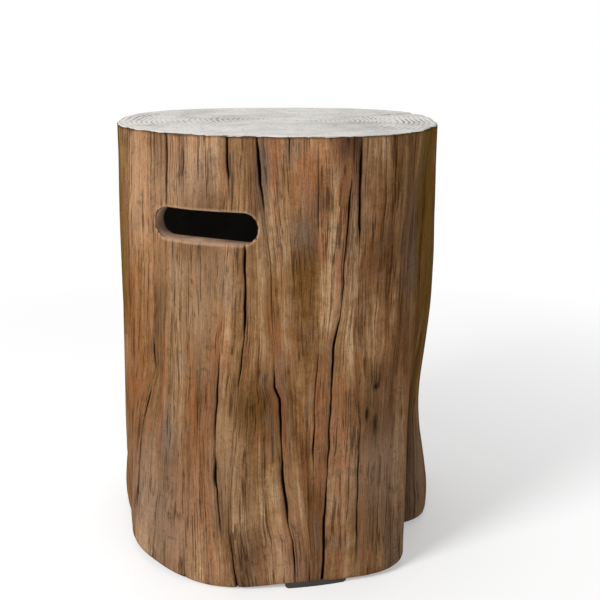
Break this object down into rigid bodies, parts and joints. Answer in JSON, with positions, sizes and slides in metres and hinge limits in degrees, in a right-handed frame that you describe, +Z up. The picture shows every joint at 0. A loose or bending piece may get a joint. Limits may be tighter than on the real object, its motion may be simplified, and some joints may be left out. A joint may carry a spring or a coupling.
{
  "type": "propane tank cover table",
  "caption": "Hollow side table shaped as a sawn tree stump, open below to cover a gas cylinder, with hand holds through the wall and rubber feet.",
  "frame": {"origin": "middle of the footprint, on the ground under the foot pads", "axes": "+Z up; -Y is the front, with the hand hold a little left of its middle; +X to the right seen from the front"},
  "size_m": [0.4996, 0.4718, 0.62],
  "materials": {
    "cast_wood": "matt painted casting with wood relief, brown sides and pale grey top",
    "foot_rubber": "matt black"
  },
  "bodies": {
    "root": {"stump_shell": "cast_wood", "front_foot_pad": "foot_rubber", "right_foot_pad": "foot_rubber", "rear_foot_pad": "foot_rubber", "left_foot_pad": "foot_rubber"}
  },
  "joints": []
}
